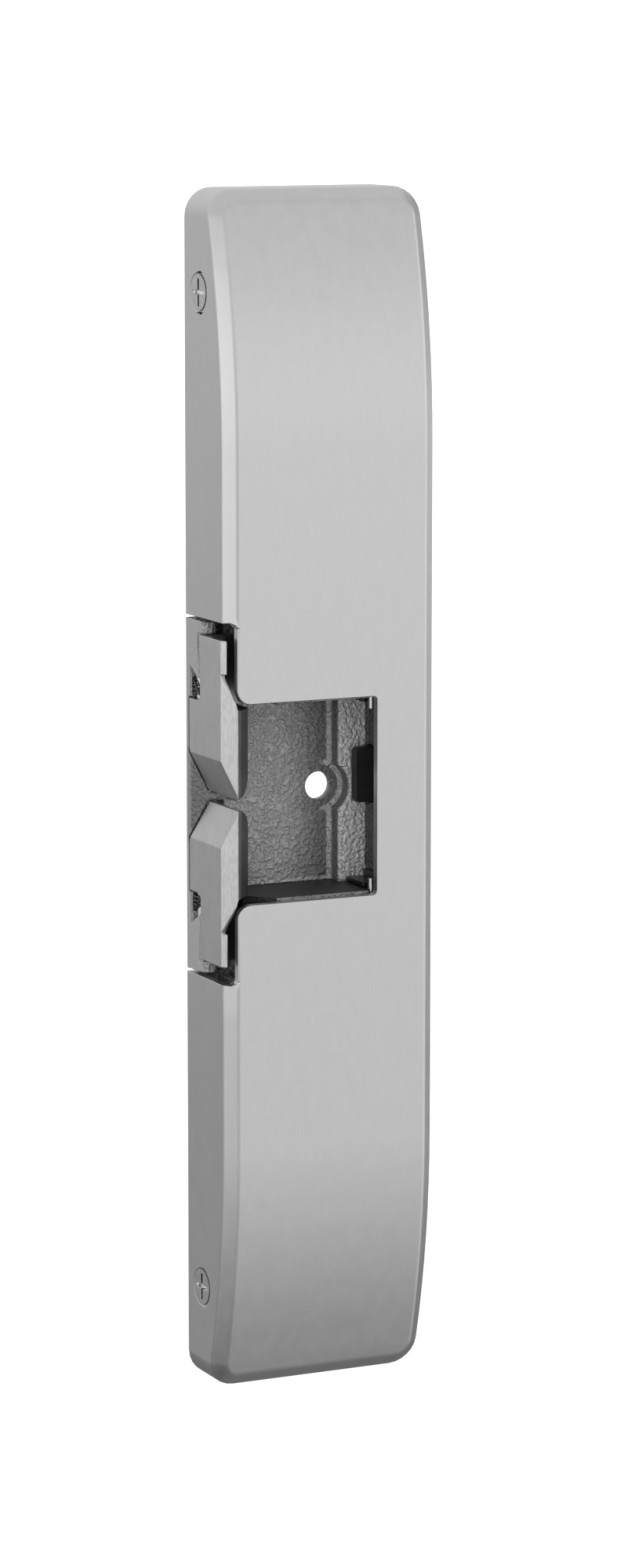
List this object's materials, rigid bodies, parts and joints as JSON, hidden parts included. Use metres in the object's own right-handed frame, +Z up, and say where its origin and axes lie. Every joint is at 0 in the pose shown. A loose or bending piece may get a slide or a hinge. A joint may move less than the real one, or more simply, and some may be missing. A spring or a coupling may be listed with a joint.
{
  "type": "electric door strike",
  "caption": "Slim surface-mounted electric door strike: a satin metal cover with a latch mouth and split swinging keepers at one edge, with solenoid locks inside",
  "frame": {"origin": "centre of the mounting plane at the strike's back, halfway along its length and width", "axes": "+X away from the door edge that carries the keepers, +Y into the door frame, so the cover's face looks along -Y, +Z up along the strike"},
  "size_m": [0.044, 0.0185, 0.2286],
  "materials": {
    "satin_metal": "fine satin, vertical grain",
    "cast_metal": "as cast, dark, orange peel texture",
    "steel": "plain bright steel",
    "black_plastic": "matt black",
    "copper_winding": "enamelled copper wire",
    "board_green": "solder mask",
    "white_plastic": "natural nylon"
  },
  "bodies": {
    "strike": {"base_casting": "cast_metal", "bobbin_lower": "black_plastic", "bobbin_upper": "black_plastic", "capacitor": "black_plastic", "control_board": "board_green", "corner_clip_lower": "steel", "corner_clip_upper": "steel", "cover": "satin_metal", "cover_screw_1": "satin_metal", "cover_screw_2": "satin_metal", "cover_screw_3": "satin_metal", "cover_screw_4": "satin_metal", "frame_screw_1": "steel", "frame_screw_2": "steel", "frame_screw_3": "steel", "frame_screw_4": "steel", "guide_pin_lower": "steel", "guide_pin_upper": "steel", "hinge_pin_lower": "steel", "hinge_pin_upper": "steel", "monitor_switch": "black_plastic", "plunger_spring_lower": "steel", "plunger_spring_upper": "steel", "rectifier": "black_plastic", "solenoid_frame_lower": "steel", "solenoid_frame_upper": "steel", "torsion_spring_lower": "steel", "torsion_spring_upper": "steel", "winding_lower": "copper_winding", "winding_upper": "copper_winding", "wire_header": "white_plastic"},
    "keeper_upper": {"keeper_upper": "satin_metal"},
    "keeper_lower": {"keeper_lower": "satin_metal"},
    "lock_upper": {"locking_slide_upper": "steel", "link_pin_upper": "steel", "plunger_upper": "steel"},
    "lock_lower": {"locking_slide_lower": "steel", "link_pin_lower": "steel", "plunger_lower": "steel"},
    "paddle": {"monitor_paddle": "black_plastic"},
    "button": {"switch_button": "white_plastic"}
  },
  "joints": [
    {"name": "keeper_upper_swing", "type": "hinge", "parent": "strike", "child": "keeper_upper", "pos_m": [-0.02025, -0.0031, 0.016], "axis": [0, 0, -1], "range_deg": [0, 65], "stiffness_Nm_per_rad": 0.02, "springref_deg": -22.92},
    {"name": "keeper_lower_swing", "type": "hinge", "parent": "strike", "child": "keeper_lower", "pos_m": [-0.02025, -0.0031, -0.016], "axis": [0, 0, -1], "range_deg": [0, 65], "stiffness_Nm_per_rad": 0.02, "springref_deg": -22.92},
    {"name": "lock_upper_slide", "type": "slide", "parent": "strike", "child": "lock_upper", "axis": [0, 0, -1], "range_m": [0, 0.0045], "stiffness_N_per_m": 150, "springref_m": -0.004, "deforming": ["plunger_spring_upper"]},
    {"name": "lock_lower_slide", "type": "slide", "parent": "strike", "child": "lock_lower", "axis": [0, 0, 1], "range_m": [0, 0.0045], "stiffness_N_per_m": 150, "springref_m": -0.004, "deforming": ["plunger_spring_lower"]},
    {"name": "paddle_push", "type": "slide", "parent": "strike", "child": "paddle", "axis": [1, 0, 0], "range_m": [0, 0.0012], "stiffness_N_per_m": 200, "springref_m": -0.001},
    {"name": "button_push", "type": "slide", "parent": "strike", "child": "button", "axis": [1, 0, 0], "range_m": [0, 0.0006]}
  ],
  "couplings": [
    {"joint": "button_push", "follows": "paddle_push", "ratio": 0.5}
  ]
}
